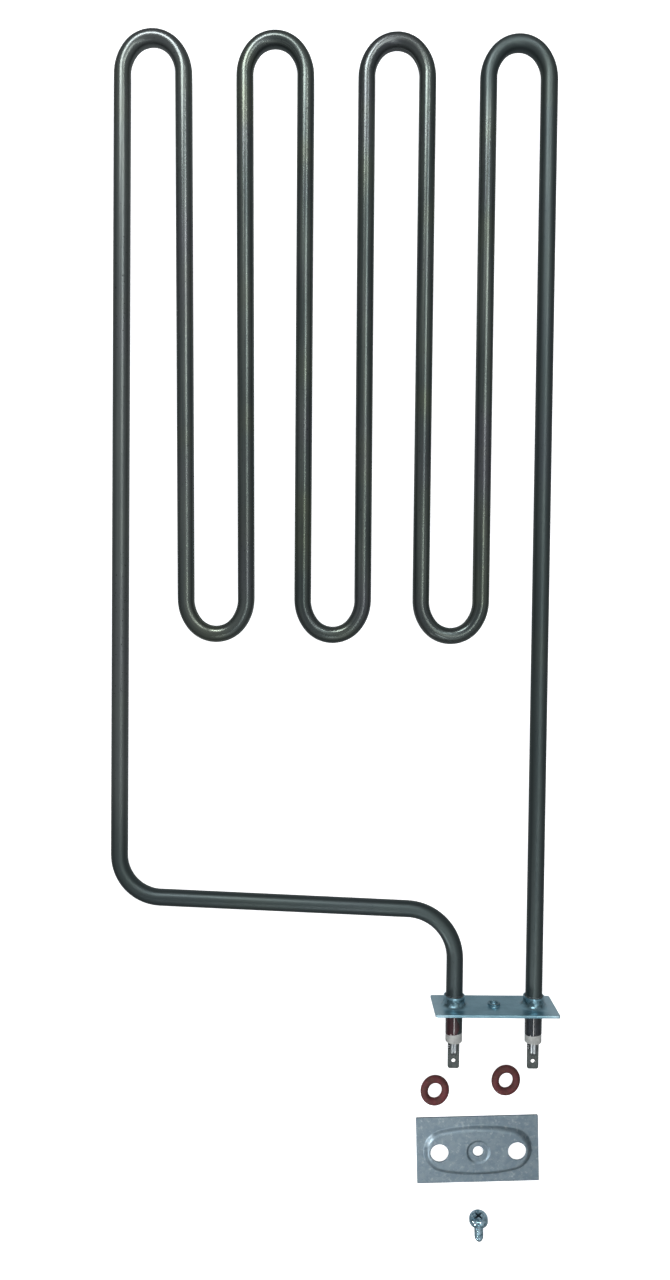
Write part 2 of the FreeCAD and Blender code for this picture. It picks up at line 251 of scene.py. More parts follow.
# Sheath: one seamless steel tube, filled with packed powder, rolled to size and annealed, which
# leaves it dark grey-green. It is bent cold, so the bends are a little flattened.
sheath_radius = 0.0045
sheath_bore = 0.0038
sheath_edge = 0.00025
stub_length = 0.013
cold_length = 0.034
leg_pitch = 0.032
hairpin_leans = (0.0, math.radians(0.2), math.radians(0.6))
far_reach = 0.517
near_bend_reach = 0.1965
bend_rise = 0.0186
bend_shoulder_radius = 0.021
run_height = 0.0528
run_slope = math.radians(2.2)
run_bend_radius = 0.027
corner_bend_radius = 0.023
tube_side = 0.0215
sheath_sides = 48
bend_step = math.radians(4.0)
leg_step = 0.006
bend_flattening = 0.06
sheath_dark = (0.076, 0.097, 0.097)
sheath_light = (0.168, 0.195, 0.177)
sheath_violet = (0.127, 0.120, 0.153)
sheath_olive = (0.163, 0.182, 0.111)
sheath_pit = (0.015, 0.018, 0.018)
sheath_dull = (0.076, 0.101, 0.106)
sheath_pale = (0.205, 0.225, 0.225)
right_leg_end = 0.575
right_leg_ease = 0.015
right_leg_dull = 0.9
pale_start = 1.75
left_leg_start = 2.45
run_start = 2.93
run_ease = 0.03


class TubeBender:
    """The tube as (length, turn) pairs, and the place and heading that its end has reached."""

    def __init__(self, start, heading):
        self.end = np.array(start)
        self.heading = heading
        self.elements = []

    def add(self, length, turn=0.0):
        """An element of even curvature; its chord is found as in centreline."""
        chord = length * np.sinc(turn / 2 / np.pi)
        middle = self.heading + turn / 2
        self.end = self.end + chord * np.array([math.cos(middle), math.sin(middle)])
        self.heading += turn
        self.elements.append((length, turn))

    def u_bend(self, side, extra_turn=0.0):
        """Three arcs that touch: wide at both shoulders and tight at the crown.

        The crown's radius follows from the half span, the rise and the shoulder radius. The crown
        takes up extra_turn, by which the bend is more than half a turn.
        """
        offset = bend_shoulder_radius - leg_pitch / 2
        crown_radius = (bend_shoulder_radius**2 - offset**2 - bend_rise**2) / (
            2 * (bend_shoulder_radius - bend_rise)
        )
        shoulder = math.atan2(bend_rise - crown_radius, offset)
        crown = math.pi + extra_turn - 2 * shoulder
        self.add(bend_shoulder_radius * shoulder, side * shoulder)
        self.add(crown_radius * crown, side * crown)
        self.add(bend_shoulder_radius * shoulder, side * shoulder)


def bend_elements():
    """The tube from the right end to the left one, turns in radians.

    The far bend before each hairpin takes up the change of lean, so the outer legs stay parallel.
    Where two lines meet, the bend starts before their corner and ends after it by its radius
    times the tangent of half its turn.
    """
    far_line = far_reach - sheath_radius - bend_rise
    near_line = near_bend_reach + sheath_radius + bend_rise
    tube = TubeBender((tube_side, -stub_length), math.pi / 2)
    tube.add(far_line + stub_length)
    last_lean = 0.0
    for lean in hairpin_leans:
        tube.u_bend(1, lean - last_lean)
        tube.add((tube.end[1] - near_line) / math.cos(lean))
        tube.u_bend(-1)
        tube.add((far_line - tube.end[1]) / math.cos(lean))
        last_lean = lean
    tube.u_bend(1, -last_lean)

    bend = math.pi / 2 - run_slope
    share = math.tan(bend / 2)
    run_span = -tube_side - tube.end[0]
    corner_level = run_height + run_span * math.tan(run_slope)
    tube.add(tube.end[1] - corner_level - corner_bend_radius * share)
    tube.add(corner_bend_radius * bend, bend)
    tube.add(run_span / math.cos(run_slope) - (corner_bend_radius + run_bend_radius) * share)
    tube.add(run_bend_radius * bend, -bend)
    tube.add(tube.end[1] + stub_length)
    return tube.elements


def full_turn(count):
    """count angles spread evenly over a full turn."""
    return np.linspace(0, 2 * np.pi, count, endpoint=False)


def centreline(elements, start, heading):
    """Points, headings, distances and curvatures along elements of even curvature.

    Every element is cut into even steps. A step's chord is its length times sin(h)/h, where h is
    half its turn, and points along the heading at its middle, so all points lie on the true arcs.
    """
    length, turn = np.array(elements).T
    steps = np.maximum(
        np.ceil(np.abs(turn) / bend_step), np.where(turn == 0, np.ceil(length / leg_step), 1)
    ).astype(int)
    piece_length = np.repeat(length / steps, steps)
    piece_turn = np.repeat(turn / steps, steps)
    headings = heading + np.cumsum(piece_turn)
    middle = headings - piece_turn / 2
    chord = piece_length * np.sinc(piece_turn / 2 / np.pi)
    moves = np.stack([chord * np.cos(middle), chord * np.sin(middle)], -1)
    points = np.vstack([start, start + np.cumsum(moves, 0)])
    headings = np.append(heading, headings)
    distances = np.append(0.0, np.cumsum(piece_length))
    curvature = piece_turn / piece_length
    curvature = (np.append(curvature, 0.0) + np.append(0.0, curvature)) / 2
    return points, headings, distances, curvature


def grid_faces(rings, around, closed=False):
    """Corner numbers of the quads that join each ring of a grid to the next ring."""
    ring, place = np.meshgrid(
        np.arange(rings if closed else rings - 1), np.arange(around), indexing="ij"
    )
    following, beside = (ring + 1) % rings, (place + 1) % around
    corners = [(ring, place), (ring, beside), (following, beside), (following, place)]
    return np.stack([a * around + b for a, b in corners], -1).reshape(-1, 4)


def grid_mesh(rings, closed=False):
    """The points and faces of a grid of rings. closed joins its last ring to its first."""
    return rings.reshape(-1, 3), grid_faces(*rings.shape[:2], closed)


def swept_tube():
    """Carries a circle along the centreline. At both ends the circle steps inwards over the end
    face and back down the bore to its floor.

    In a bend it is narrowed in the bend's plane by a share of its width, which is bend_flattening
    times the tube's radius over the bend's, and made higher by a quarter of that share.
    """
    points, headings, distances, curvature = centreline(
        bend_elements(), np.array([tube_side, -stub_length]), math.pi / 2
    )
    end = distances[-1]
    lip = np.array([cold_length, cold_length, 0.0, 0.0, sheath_edge])
    lip_radius = [0.0, sheath_bore, sheath_bore, sheath_radius - sheath_edge, sheath_radius]
    first = points[0] + lip[:, None] * (0.0, 1.0)
    last = points[-1] + lip[::-1, None] * (0.0, 1.0)
    wall = np.full(len(points) - 2, sheath_radius)
    radius = np.concatenate([lip_radius, wall, lip_radius[::-1]])
    points = np.vstack([first, points[1:-1], last])
    headings = np.pad(headings[1:-1], len(lip), "edge")
    distances = np.concatenate([lip, distances[1:-1], end - lip[::-1]])
    curvature = np.pad(curvature[1:-1], len(lip))

    flat = bend_flattening * np.minimum(np.abs(curvature) * sheath_radius, 1.0)
    angle = full_turn(sheath_sides)
    across = radius[:, None] * (1 - flat[:, None]) * np.cos(angle)
    up = radius[:, None] * (1 + flat[:, None] / 4) * np.sin(angle)
    sideways = np.stack([-np.sin(headings), np.cos(headings)], -1)
    ring_xy = points[:, None, :] + across[..., None] * sideways[:, None, :]
    rings = np.concatenate([ring_xy, up[..., None]], -1)
    along = np.broadcast_to(distances[:, None], up.shape)
    radius = radius[:, None]
    unbent = np.stack([radius * np.cos(angle), radius * np.sin(angle), along], -1)
    return rings, unbent


def stretched(place, factors):
    """Coordinates multiplied axis by axis, which lengthens a pattern where the factor is small."""
    return place.node("ShaderNodeVectorMath", {"operation": "MULTIPLY"}, {0: place, 1: factors})


def grained(height, depth, strength=1.0):
    """A normal that follows height, with depth metres between its lowest and highest points."""
    sockets = {"Height": height, "Distance": depth, "Strength": strength}
    return height.node("ShaderNodeBump", None, sockets, "Normal")


def sheath_steel(place):
    """Annealed oxide: streaks drawn out along the tube, cool and warm stretches, and pits. The
    oxide is duller on the right leg and the run, and grows paler towards the run.

    The pattern reads the attribute unbent, each point's place on the tube before bending.
    """
    unbent = place.node("ShaderNodeAttribute", {"attribute_name": "unbent"}, None, "Vector")
    fine = noise(stretched(unbent, (1, 1, 0.006)), 0.0007, 2.0, 0.6)
    drawn = noise(stretched(unbent, (1, 1, 0.008)), 0.0014, 1.0)
    broad = noise(stretched(unbent, (1, 1, 0.06)), 0.0035, 3.0)
    stretch = noise(stretched(unbent, (0.5, 0.5, 1)), 0.09, 2.0)
    other = noise(stretched(unbent, (0.6, 0.6, 1)), 0.06, 2.0)
    speck = noise(unbent, 0.0009, 2.0, 0.5)
    along = unbent.axis("Z")
    run = eased(along, run_start - run_ease, run_start + run_ease)
    leg_end = eased(along, right_leg_end - right_leg_ease, right_leg_end + right_leg_ease)
    right_leg = right_leg_dull - leg_end * right_leg_dull
    dull = run + right_leg
    matt = eased(along, left_leg_start, run_start) + right_leg
    pale = eased(along, pale_start, run_start) * (1 - run)
    pits = eased(speck, 0.66, 0.71) * eased(stretch, 0.35, 0.6)
    body = mixed(eased(fine * 0.45 + broad * 0.55, 0.33, 0.68), sheath_dark, sheath_light)
    body = mixed(eased(stretch, 0.48, 0.66) * 0.55, body, sheath_violet)
    body = mixed(eased(other, 0.50, 0.66) * 0.42, body, sheath_olive)
    body = mixed(pale * 0.6, body, sheath_pale)
    body = mixed(pits, body, sheath_pit)
    body = mixed(dull * 0.80, body, sheath_dull)
    return {
        "Base Color": body,
        "Roughness": 0.19 + drawn * 0.08 + fine * 0.05 + matt * 0.17,
        "Normal": grained(drawn * 1.2 - pits, 0.00002, 0.2),
    }


rings, unbent = swept_tube()
sheath = new_piece(
    "heater_tube",
    *grid_mesh(rings),
    material("sheath_steel", sheath_steel, Metallic=0.85, Specular_IOR_Level=0.4),
    attribute=("unbent", unbent.reshape(-1, 3)),
)
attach(sheath, "root")
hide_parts("heater_sheath")

# Flange: one pressed steel plate with two collars drawn out of it round the tube ends and a
# threaded neck between them, zinc plated. It stands across the tube ends on its long edge.
flange_length = 0.066
flange_width = 0.026
flange_thickness = 0.0015
flange_corner = 0.0008
flange_rounding = 0.0003
collar_height = 0.007
collar_radius = 0.00565
collar_bore = 0.00455
collar_foot = 0.00885
collar_rim_edge = 0.0001
neck_height = 0.0029
neck_radius = 0.0034
neck_fillet = 0.0004
thread_pitch = 0.0008
thread_depth = 0.0004
thread_core = 0.0021
joint_x = 0.009
collar_counts = (46, 60)
collar_steps = 12
neck_counts = (36, 60)
neck_steps = 5
thread_steps = 30
flange_steps = 4
zinc_deep = (0.228, 0.42, 0.51)
zinc_pale = (0.32, 0.54, 0.64)
zinc_dull = (0.245, 0.385, 0.45)
zinc_bright = (0.56, 0.78, 0.88)
# The next colour is painted shade for the collars' necks; the last two ranges give its heights.
zinc_painted_shade = (0.075, 0.125, 0.145)
bright_ends = (0.0225, 0.0315)
neck_shade_foot = (0.0015, 0.0030)
neck_shade_rim = (0.0058, 0.0064)


def rectangle(low, high, counts):
    """Points round a rectangle from its low corner, evenly spread over each of the four sides."""
    along = np.linspace(0, 1, counts[0], endpoint=False)
    up = np.linspace(0, 1, counts[1], endpoint=False)
    wide, tall = high[0] - low[0], high[1] - low[1]
    sides = [
        (low[0] + wide * along, low[1]),
        (high[0], low[1] + tall * up),
        (high[0] - wide * along, high[1]),
        (low[0], high[1] - tall * up),
    ]
    return np.vstack([np.stack(np.broadcast_arrays(*side), -1) for side in sides])


def arc_points(centre_radius, centre_height, radius, start, end, steps):
    """(radius, height) pairs on an arc from the angle start to end, in degrees."""
    angles = np.radians(np.linspace(start, end, steps))
    return list(
        zip(centre_radius + radius * np.cos(angles), centre_height + radius * np.sin(angles))
    )


def pressed_panel(low, high, hole, counts, size, corner, rounding, top, under, levels, steps):
    """One panel of a pressed plate, from a hole to the panel's outline over the top, round the
    edge and back underneath, as a closed grid of (x, y, height) points.

    A face point is a mix of the hole's edge and the outline's point on the same ray. top and
    under list the hole's (radius, height) rings, and levels are the two height functions. The
    outer edges are quarter circles: outwards by the sine of the angle, and down from the face by
    one less its cosine, both times rounding. Where the panel meets its neighbour, the edge isn't
    rounded and its faces are left out.
    """
    half = np.array(size) / 2
    outline = rectangle(low, high, counts)
    on_edge = np.isclose(np.abs(outline), half)
    joined = np.isclose(outline[:, :1], [low[0], high[0]]).any(-1) & ~on_edge[:, 0]
    past = np.abs(outline) - (half - corner)
    in_corner = (past > 0).all(-1, keepdims=True)
    past_length = np.linalg.norm(past, axis=-1, keepdims=True)
    outward = np.where(in_corner, past / past_length, on_edge) * np.sign(outline)
    cornered = np.sign(outline) * (half - corner + past / past_length * corner)
    outline = np.where(in_corner, cornered, outline)
    hole = np.array(hole)
    ray = (outline - hole) / np.linalg.norm(outline - hole, axis=-1, keepdims=True)
    inset = outline - outward * rounding

    def ring(flat, height):
        return np.column_stack([flat, np.broadcast_to(height, len(flat))])

    def around_hole(radius, height):
        return ring(hole + ray * np.reshape(radius, (-1, 1)), height)

    def face(radius, level, shares):
        flats = [hole + ray * radius * (1 - share) + (inset - hole) * share for share in shares]
        return [ring(flat, level(flat[:, 0], flat[:, 1])) for flat in flats]

    def edge(level, side, angles):
        found = level(inset[:, 0], inset[:, 1])
        return [
            ring(
                inset + outward * rounding * math.sin(angle),
                found - side * rounding * (1 - math.cos(angle)),
            )
            for angle in angles
        ]

    shares = np.linspace(0, 1, steps + 1)[1:]
    angles = [math.pi / 6, math.pi / 3, math.pi / 2]
    rings = [around_hole(*pair) for pair in top]
    rings += face(top[-1][0], levels[0], shares)
    first_edge = len(rings) - 1
    rings += edge(levels[0], 1, angles) + edge(levels[1], -1, angles[::-1])
    last_edge = len(rings) - 1
    rings += face(under[0][0], levels[1], shares[::-1])
    rings += [around_hole(*pair) for pair in under]
    rings = np.array(rings)
    faces = grid_faces(len(rings), len(outline), closed=True)
    ring_number, place = np.divmod(faces[:, 0], len(outline))
    is_edge = (ring_number >= first_edge) & (ring_number <= last_edge)
    hidden = is_edge & joined[place] & joined[(place + 1) % len(outline)]
    return rings.reshape(-1, 3), faces[~hidden]


def together(parts):
    """Several (points, faces) pairs as one."""
    starts = np.cumsum([0] + [len(points) for points, faces in parts[:-1]])
    faces = [faces + start for start, (points, faces) in zip(starts, parts)]
    return np.vstack([points for points, faces in parts]), np.vstack(faces)


def even(height):
    """A level that is the same everywhere."""
    return lambda x, y: np.full(len(x), height)


def flange_mesh():
    """Two collar panels and the neck panel between them, set upright: height runs along Y."""
    flare = collar_foot - collar_radius
    throat = collar_foot - collar_bore
    over = flange_thickness + flare
    collar_top = [
        (collar_bore, collar_height - collar_rim_edge),
        (collar_bore + collar_rim_edge, collar_height),
        (collar_radius - collar_rim_edge, collar_height),
        (collar_radius, collar_height - collar_rim_edge),
        *arc_points(collar_foot, over, flare, 180, 270, collar_steps),
    ]
    collar_under = arc_points(collar_foot, throat, throat, 270, 180, collar_steps)
    levels = (even(flange_thickness), even(0.0))
    half_length, half_width = flange_length / 2, flange_width / 2
    shared = (flange_length, flange_width), flange_corner, flange_rounding
    parts = []
    for side in (-1, 1):
        low, high = sorted([side * joint_x, side * half_length])
        parts.append(
            pressed_panel(
                (low, -half_width), (high, half_width), (side * tube_side, 0.0), collar_counts,
                *shared, collar_top, collar_under, levels, flange_steps,
            )
        )
    outline = rectangle((-joint_x, -half_width), (joint_x, half_width), neck_counts)
    angle = np.arctan2(outline[:, 1], outline[:, 0]) / (2 * np.pi)
    thread = []
    for height in np.linspace(0, neck_height, thread_steps):
        phase = (height / thread_pitch - angle) % 1
        thread.append((thread_core + thread_depth * np.abs(2 * phase - 1), height))
    neck_top = thread + [
        (neck_radius - collar_rim_edge, neck_height),
        (neck_radius, neck_height - collar_rim_edge),
        *arc_points(
            neck_radius + neck_fillet, flange_thickness + neck_fillet, neck_fillet,
            180, 270, neck_steps,
        ),
    ]
    neck_under = [(thread_core + thread_depth + collar_rim_edge, 0.0)]
    parts.append(
        pressed_panel(
            (-joint_x, -half_width), (joint_x, half_width), (0.0, 0.0), neck_counts,
            *shared, neck_top, neck_under, levels, flange_steps,
        )
    )
    points, faces = together(parts)
    return points[:, [0, 2, 1]], faces


def zinc_plating(place):
    """Bluish zinc: cloudy brightness, faint rolling lines and rubbed spots.

    The necks of the collars are darkened in patches by painted shade, which stands in for the
    dark reflections on their curved flanks, and the ends of the plate are brighter.
    """
    cloud = noise(place, 0.009, 3.0)
    rolled = noise(stretched(place, (0.08, 1, 1)), 0.0007, 3.0)
    spots = noise(place, 0.0016, 4.0, 0.6)
    body = mixed(eased(cloud * 0.6 + rolled * 0.4, 0.35, 0.65), zinc_deep, zinc_pale)
    body = mixed(eased(spots, 0.58, 0.74) * 0.35, body, zinc_dull)
    across = place.axis("X")
    ends = eased(across.maths("ABSOLUTE", across, 0.0), *bright_ends)
    body = mixed(ends * (cloud * 0.6 + 0.45), body, zinc_bright)
    rise = place.axis("Y")
    # Painted shade: dark patches on the collars' necks, for the dark reflections on their flanks.
    neck_shade = eased(rise, *neck_shade_foot) * (1 - eased(rise, *neck_shade_rim))
    patch = eased(noise(place, 0.0028, 2.0), 0.42, 0.58)
    body = mixed(neck_shade * (patch * 0.6 + 0.2), body, zinc_painted_shade)
    return {
        "Base Color": body,
        "Roughness": 0.23 + rolled * 0.08 + spots * 0.06,
        "Normal": grained(rolled * 0.15 + cloud * 2.0 + spots * 0.08, 0.00003, 0.3),
    }


zinc = material("zinc_plating", zinc_plating, Metallic=0.85)
flange = new_piece("mounting_plate", *flange_mesh(), zinc)
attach(flange, "root")
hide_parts("mounting_flange")

# Braze rings: a thin run of silver braze between each collar's rim and the tube, dulled by the
# torch.
braze_rise = 0.0006
braze_reach = 0.0007
braze_start = 0.0063
braze_overlap = 0.00005
braze_steps = 8
braze_dark = (0.055, 0.070, 0.075)
braze_pale = (0.26, 0.31, 0.33)
both_sides = (("left", -tube_side), ("right", tube_side))


def turned(profile, side_x, sides=64):
    """Turns a closed outline of (radius, y) pairs about the tube's axis at side_x."""
    radius, along = np.array(profile).T[..., None]
    angle = full_turn(sides)
    axes = side_x + radius * np.cos(angle), along, radius * np.sin(angle)
    return grid_mesh(np.stack(np.broadcast_arrays(*axes), -1), closed=True)


def braze_metal(place):
    """Grey scale with bare silver specks."""
    speck = noise(place, 0.0005, 3.0)
    return {
        "Base Color": mixed(eased(speck, 0.42, 0.66), braze_dark, braze_pale),
        "Roughness": 0.35 + speck * 0.3,
        "Normal": grained(speck, 0.00006, 0.6),
    }


braze = material("braze_metal", braze_metal, Metallic=0.7)
braze_profile = [
    (sheath_radius - braze_overlap, braze_start),
    (collar_bore, braze_start),
    (collar_bore, collar_height),
    *arc_points(
        sheath_radius + braze_reach, collar_height + braze_rise, braze_rise, 265, 180, braze_steps
    ),
    (sheath_radius - braze_overlap, collar_height + braze_rise),
]
for side_name, side_x in both_sides:
    ring = new_piece(f"braze_{side_name}", *turned(braze_profile, side_x), braze)
    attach(ring, "root")
    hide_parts(f"braze_ring_{side_name}")

# Insulators: pressed and fired ceramic bushes. The head covers the tube's end, the spigot sits in
# the bore, and the pin comes out through the hole.
bush_hole = 0.0013
bush_spigot = 0.00375
bush_head_end = -0.0182
bush_spigot_end = -0.007
bush_rounding = 0.0004
bush_steps = 5
ceramic_pale = (0.56, 0.57, 0.55)
ceramic_grey = (0.42, 0.43, 0.42)
ceramic_stain = (0.22, 0.19, 0.17)


def fired_ceramic(place):
    """Chalky ceramic with fine pores, a soft grey cloud and a few stains."""
    cloud = noise(place, 0.003, 3.0)
    pores = noise(place, 0.00035, 2.0)
    stains = eased(noise(place, 0.0013, 3.0), 0.64, 0.74)
    body = mixed(eased(cloud, 0.35, 0.65), ceramic_pale, ceramic_grey)
    return {
        "Base Color": mixed(stains * 0.5, body, ceramic_stain),
        "Roughness": 0.55 + pores * 0.25,
        "Normal": grained(pores, 0.00004, 0.6),
    }


ceramic = material("fired_ceramic", fired_ceramic)
bush_profile = [
    (bush_hole, bush_head_end),
    *arc_points(
        sheath_radius - bush_rounding, bush_head_end + bush_rounding, bush_rounding,
        270, 360, bush_steps,
    ),
    (sheath_radius, -stub_length),
    (bush_spigot, -stub_length),
    (bush_spigot, bush_spigot_end),
    (bush_hole, bush_spigot_end),
]
for side_name, side_x in both_sides:
    bush = new_piece(f"ceramic_bush_{side_name}", *turned(bush_profile, side_x), ceramic)
    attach(bush, "root")
    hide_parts(f"insulator_{side_name}")

# End lacquer: the tube ends are dipped against damp. The left coat is dark red and has run to one
# side, which leaves a strip of the tube bare; the right one is nearly black and goes all round.
lacquer_start = -0.0003
lacquer_grid = (40, 96)
red_end = -0.0133
red_slant = 0.0006
black_end = -0.0136
black_slant = 0.0003
drip_wave = 0.0001
bare_edge_turn = math.radians(66)
coated_turn = math.radians(235)
bare_edge_wave = 0.25
bare_edge_waves = 520
bare_edge_ease = 0.18
lacquer_coat = 0.00010
lacquer_bead = 0.00016
lacquer_bead_length = 0.0006
lacquer_sink = 0.00006
lacquer_red = (0.028, 0.003, 0.006)
lacquer_red_thin = (0.060, 0.006, 0.012)
lacquer_black = (0.008, 0.011, 0.016)
lacquer_black_thin = (0.027, 0.036, 0.048)


def lacquer_sleeve(side_x, drip, covered):
    """A thin sleeve over the tube's end, closed on its inside.

    Its thickness is an even coat plus a bell-shaped bead at the lower edge, times covered, which
    is 1 on the coated side; where it is 0 the sleeve lies just under the tube's surface. A
    factor, the square root of one less the eighth power of the share of its length, rounds its
    lower edge. drip gives that edge's place along Y for each angle.
    """
    angle = full_turn(lacquer_grid[1])
    share = np.linspace(0, 1, lacquer_grid[0])[:, None]
    low = drip(angle)
    along = lacquer_start + (low - lacquer_start) * share
    bead = lacquer_bead * np.exp(-(((along - low) / lacquer_bead_length) ** 2))
    rise = (lacquer_coat + bead) * covered(angle, along) * np.sqrt(1 - share**8)
    radius = sheath_radius + rise - lacquer_sink * (1 - covered(angle, along))
    inner = np.full((2, len(angle)), sheath_radius - 3 * lacquer_sink)
    radius = np.vstack([radius, inner])
    along = np.vstack([along, along[-1:], along[:1]])
    rings = np.stack([side_x + radius * np.cos(angle), along, radius * np.sin(angle)], -1)
    return grid_mesh(rings, closed=True)


def smooth_step(value):
    """0 below 0, 1 above 1, with a soft start and end."""
    value = np.clip(value, 0, 1)
    return value * value * (3 - 2 * value)


def lacquer(thick, thin):
    """Builds a glossy coat that lets a little more light through where it is thin."""

    def build(place):
        cloud = noise(stretched(place, (1, 0.3, 1)), 0.0012, 3.0)
        return {
            "Base Color": mixed(eased(cloud, 0.40, 0.66), thick, thin),
            "Roughness": 0.08 + cloud * 0.10,
            "Normal": grained(cloud, 0.00003, 0.3),
        }

    return build


def red_drip(angle):
    """A slanting edge with three small waves."""
    return red_end + red_slant * np.cos(angle) - drip_wave * np.sin(angle * 3)


def black_drip(angle):
    """A slanting edge with two small waves."""
    return black_end + black_slant * np.cos(angle) - drip_wave * np.cos(angle * 2 + 0.5)


def red_cover(angle, along):
    """Coated from straight up towards the left and underneath, bare on the right. The angle of
    the bare strip's edge sways with the sine of the distance along the tube."""
    sway = bare_edge_wave * np.sin(along * bare_edge_waves)
    turn = (angle - bare_edge_turn + sway) % (2 * np.pi)
    first_edge = smooth_step(turn / bare_edge_ease)
    return first_edge * smooth_step((coated_turn - turn) / bare_edge_ease)


def black_cover(angle, along):
    """Coated all round."""
    return np.ones(np.broadcast(angle, along).shape)


coats = {
    "left": ("red_lacquer", (lacquer_red, lacquer_red_thin), red_drip, red_cover),
    "right": ("black_lacquer", (lacquer_black, lacquer_black_thin), black_drip, black_cover),
}
lacquers = {}
for side_name, side_x in both_sides:
    paint_name, colours, drip, covered = coats[side_name]
    paint = material(paint_name, lacquer(*colours), Coat_Weight=1.0, Coat_Roughness=0.05)
    lacquers[side_name] = paint
    coat = new_piece(f"end_lacquer_{side_name}", *lacquer_sleeve(side_x, drip, covered), paint)
    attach(coat, "root")

# Push-on tabs: stamped blades with a saddle pressed over the pin and spot welded to it. They are
# dull from storage, and the saddle is rubbed bright.
tab_width = 0.0063
tab_sheet = 0.0008
tab_start = -0.0188
tab_end = -0.0331
tab_pin_end = -0.0236
tab_hole = (0.0, -0.0289)
tab_hole_radius = 0.00105
tab_corner = 0.0012
tab_rounding = 0.00015
tab_counts = (40, 80)
tab_steps = 44
pin_radius = 0.00125
saddle_radius = 0.00205
saddle_blend = 0.0003
saddle_seam_depth = 0.00070
saddle_seam_width = 0.00050
tab_dull = (0.072, 0.084, 0.083)
tab_grey = (0.115, 0.132, 0.130)
tab_bright = (0.50, 0.54, 0.56)


def saddle_distance(x, y):
    """Distance from the pin's axis in plan, round its end as well."""
    return np.hypot(x, np.maximum(tab_pin_end - y, 0))


def tab_top(x, y):
    """The blade's flat top, joined by a fillet to a hump that is round over the pin. A seam runs
    along the hump, where the two wings of the crimp meet.

    The fillet is a smooth maximum: half the sum plus half the square root of the squared
    difference and a squared blend length.
    """
    hump = np.sqrt(np.maximum(saddle_radius**2 - saddle_distance(x, y) ** 2, 0))
    hump = hump - saddle_seam_depth * np.exp(-((x / saddle_seam_width) ** 2))
    flat = tab_sheet / 2
    joined = (hump + flat + np.sqrt((hump - flat) ** 2 + saddle_blend**2)) / 2
    return joined - saddle_blend**2 / (4 * saddle_radius)


def tab_under(x, y):
    """The blade's flat underside, with a round channel for the pin."""
    channel = np.sqrt(np.maximum(pin_radius**2 - saddle_distance(x, y) ** 2, 0))
    return np.where(channel > 0, channel, -tab_sheet / 2)


def tab_mesh(side_x):
    """One panel round the latch hole, moved to its pin."""
    half_hole = tab_sheet / 2 - tab_rounding
    middle = (tab_start + tab_end) / 2
    low = (-tab_width / 2, tab_end - middle)
    high = (tab_width / 2, tab_start - middle)
    top = [(tab_hole_radius, -half_hole), (tab_hole_radius, half_hole)]
    top.append((tab_hole_radius + tab_rounding, tab_sheet / 2))
    under = [(tab_hole_radius + tab_rounding, -tab_sheet / 2)]
    levels = (lambda x, y: tab_top(x, y + middle), lambda x, y: tab_under(x, y + middle))
    points, faces = pressed_panel(
        low, high, (tab_hole[0], tab_hole[1] - middle), tab_counts,
        (tab_width, tab_start - tab_end), tab_corner, tab_rounding, top, under, levels, tab_steps,
    )
    return points + (side_x, middle, 0), faces


def tab_steel(place):
    """Dull grey blade with fine die lines; what stands up over the pin is rubbed bright."""
    lines = noise(stretched(place, (1, 0.04, 1)), 0.0004, 3.0)
    cloud = noise(place, 0.0018, 3.0)
    rubbed = eased(place.axis("Z"), tab_sheet, 2 * tab_sheet)
    body = mixed(eased(lines * 0.5 + cloud * 0.5, 0.36, 0.64), tab_dull, tab_grey)
    return {
        "Base Color": mixed(rubbed, body, tab_bright),
        "Roughness": 0.50 - rubbed * 0.24 + lines * 0.1,
        "Metallic": 0.35 + rubbed * 0.6,
        "Normal": grained(lines * 0.6 + cloud, 0.00002, 0.4),
    }


tab_finish = material("tab_steel", tab_steel)
for side_name, side_x in both_sides:
    blade = new_piece(f"push_tab_{side_name}", *tab_mesh(side_x), tab_finish, crease=50.0)
    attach(blade, "root")
    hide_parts(f"tab_{side_name}")

# Crimp ears: the curled edge of the saddle's left wing. A bare bright fold runs along the blade
# beside the pin; three small nearly black beads across it are painted shadow in the crimp's folds.
fold_level, fold_radius = 0.00045, 0.00052
shadow_nip_level, shadow_nip_radius = 0.00081, 0.00036
# Each bead: its x from the pin's axis, its y and half its length.
fold_beads = [(-0.00262, -0.0209, 0.00180)]
shadow_nip_beads = [(-0.00250, -0.0197, 0.00078), (-0.00275, -0.0208, 0.00070)]
shadow_nip_beads += [(-0.00245, -0.0219, 0.00078)]
bead_grid = (15, 20)
ear_painted_shadow = (0.008, 0.010, 0.011)
# Nearly black: painted shadow in the crimp's folds.
ear_bright = (0.60, 0.63, 0.65)


def bead_mesh(x, y, half_length, axis, level, radius):
    """A round-ended bead along X (axis 0) or Y (axis 1): its radius follows the square root of
    one less the share of its half length to the fourth power."""
    share = np.linspace(-1, 1, bead_grid[0])[:, None]
    angle = full_turn(bead_grid[1])
    girth = radius * np.sqrt(1 - share**4)
    rings = np.zeros((*bead_grid, 3))
    rings[..., axis] = half_length * share
    rings[..., 1 - axis] = girth * np.cos(angle)
    rings[..., 2] = girth * np.sin(angle)
    return grid_mesh(rings + (x, y, level))


def ear_steel(colour):
    """A little uneven in gloss and nothing else, as the folds are too small to show more."""

    def build(place):
        gloss = noise(place, 0.0006, 2.0)
        return {"Base Color": colour, "Roughness": 0.22 + gloss * 0.12}

    return build


fold_finish = material("ear_bright", ear_steel(ear_bright), Metallic=0.9)
# The small beads across the fold are painted shadow.
shadow_nip_finish = material("ear_painted_shadow", ear_steel(ear_painted_shadow), Metallic=0.3)
ear_kinds = [
    ("fold", fold_beads, fold_finish, (1, fold_level, fold_radius)),
    ("shadow_nips", shadow_nip_beads, shadow_nip_finish, (0, shadow_nip_level, shadow_nip_radius)),
]
for side_name, side_x in both_sides:
    for ear_name, ear_beads, finish, form in ear_kinds:
        beads = [bead_mesh(side_x + x, y, length, *form) for x, y, length in ear_beads]
        ears = new_piece(f"crimp_{ear_name}_{side_name}", *together(beads), finish)
        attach(ears, "root")

